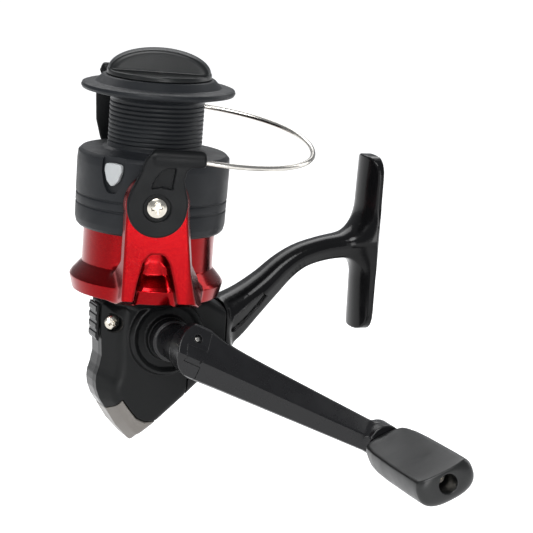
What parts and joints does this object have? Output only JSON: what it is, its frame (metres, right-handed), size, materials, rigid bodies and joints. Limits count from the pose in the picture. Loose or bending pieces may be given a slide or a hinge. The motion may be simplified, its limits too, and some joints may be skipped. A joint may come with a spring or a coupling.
{
  "type": "spinning reel",
  "caption": "Open-face spinning fishing reel with a skirted spool, red rotor, folding wire bail, folding crank handle and a foot that clamps to a rod's reel seat.",
  "frame": {"origin": "middle of the foot's seat face", "axes": "+X out of the foot's seat towards the rod, +Z along the spool axis towards the drag knob, handle on -Y"},
  "size_m": [0.0958, 0.1236, 0.1192],
  "materials": {
    "matte_black_plastic": "matte",
    "gloss_black_plastic": "gloss",
    "satin_black_handle": "satin",
    "soft_grey_knob": "satin",
    "red_metallic": "gloss",
    "grey_plastic": "satin",
    "steel_wire": "polished",
    "nickel_screw": "polished",
    "brass": "satin",
    "cast_gear_metal": "satin",
    "white_plastic": "matte",
    "felt": "matte"
  },
  "bodies": {
    "frame": {"body_frame": "gloss_black_plastic", "side_cover": "matte_black_plastic", "tail_guard": "grey_plastic", "cover_screws": "nickel_screw", "pinion_bearing": "nickel_screw", "pinion_bush": "brass", "drive_bushes": "brass", "clutch_housing": "nickel_screw", "clutch_rollers": "nickel_screw", "guide_rod": "steel_wire", "cross_screw": "nickel_screw"},
    "switch": {"anti_reverse_switch": "matte_black_plastic"},
    "crank": {"drive_gear": "cast_gear_metal", "handle_shank": "satin_black_handle", "fold_pin": "steel_wire", "handle_screw_cap": "matte_black_plastic"},
    "arm": {"handle_arm": "satin_black_handle", "knob_spindle": "steel_wire", "knob_screw": "nickel_screw"},
    "knob": {"handle_knob": "soft_grey_knob"},
    "rotor_unit": {"pinion_gear": "brass", "clutch_sleeve": "nickel_screw", "rotor": "red_metallic", "rotor_nut": "brass", "nut_lock_screw": "nickel_screw", "bail_spring": "steel_wire", "ear_cover": "red_metallic", "pivot_screws": "nickel_screw"},
    "bail": {"bail_arm": "matte_black_plastic", "roller_arm": "matte_black_plastic", "bail_wire": "steel_wire", "roller_screw": "nickel_screw", "roller_bush": "brass"},
    "roller": {"line_roller": "steel_wire"},
    "crosswind": {"cross_gear": "white_plastic"},
    "shaft_unit": {"main_shaft": "steel_wire", "cross_slider": "white_plastic", "slider_screw": "nickel_screw", "spool_seat": "brass", "seat_pin": "steel_wire", "click_gear": "white_plastic", "seat_washer": "white_plastic", "keyed_washers": "nickel_screw"},
    "spool_unit": {"spool": "matte_black_plastic", "line_clip": "grey_plastic", "felt_washers": "felt", "eared_washers": "nickel_screw", "retaining_ring": "steel_wire", "click_pawl": "nickel_screw"},
    "drag_unit": {"drag_knob": "matte_black_plastic", "drag_nut": "brass", "drag_spring": "steel_wire"}
  },
  "joints": [
    {"name": "handle_turn", "type": "hinge", "parent": "frame", "child": "crank", "pos_m": [-0.0686, 0, -0.028], "axis": [0, 1, 0], "continuous": true},
    {"name": "rotor_spin", "type": "hinge", "parent": "frame", "child": "rotor_unit", "pos_m": [-0.0727, 0, 0.002], "axis": [0, 0, 1], "continuous": true},
    {"name": "crosswind_spin", "type": "hinge", "parent": "frame", "child": "crosswind", "pos_m": [-0.0727, 0.0045, -0.03896], "axis": [0, 1, 0], "continuous": true},
    {"name": "spool_stroke", "type": "slide", "parent": "frame", "child": "shaft_unit", "axis": [0, 0, 1], "range_m": [-0.0055, 0.0055]},
    {"name": "spool_slip", "type": "hinge", "parent": "shaft_unit", "child": "spool_unit", "pos_m": [-0.0727, 0, 0.032], "axis": [0, 0, 1], "continuous": true},
    {"name": "drag_turn", "type": "hinge", "parent": "shaft_unit", "child": "drag_unit", "pos_m": [-0.0727, 0, 0.052], "axis": [0, 0, 1], "range_deg": [-360, 360]},
    {"name": "bail_flip", "type": "hinge", "parent": "rotor_unit", "child": "bail", "pos_m": [-0.0727, 0, 0.0146], "axis": [-0.2857, -0.9583, 0], "range_deg": [0, 105]},
    {"name": "line_roller_spin", "type": "hinge", "parent": "bail", "child": "roller", "pos_m": [-0.07169, 0.02912, 0.04209], "axis": [-0.9338, 0.2784, 0.225], "continuous": true},
    {"name": "handle_fold", "type": "hinge", "parent": "crank", "child": "arm", "pos_m": [-0.06906, -0.0334, -0.0278], "axis": [-0.3955, 0, -0.9184], "range_deg": [0, 90]},
    {"name": "knob_spin", "type": "hinge", "parent": "arm", "child": "knob", "pos_m": [-0.01009, -0.046, -0.0532], "axis": [0, -1, 0], "continuous": true},
    {"name": "anti_reverse_slide", "type": "slide", "parent": "frame", "child": "switch", "axis": [-0.0434, 0, 0.9991], "range_m": [-0.003, 0]}
  ],
  "couplings": [
    {"joint": "rotor_spin", "follows": "handle_turn", "ratio": 5},
    {"joint": "crosswind_spin", "follows": "handle_turn", "ratio": -0.5}
  ]
}
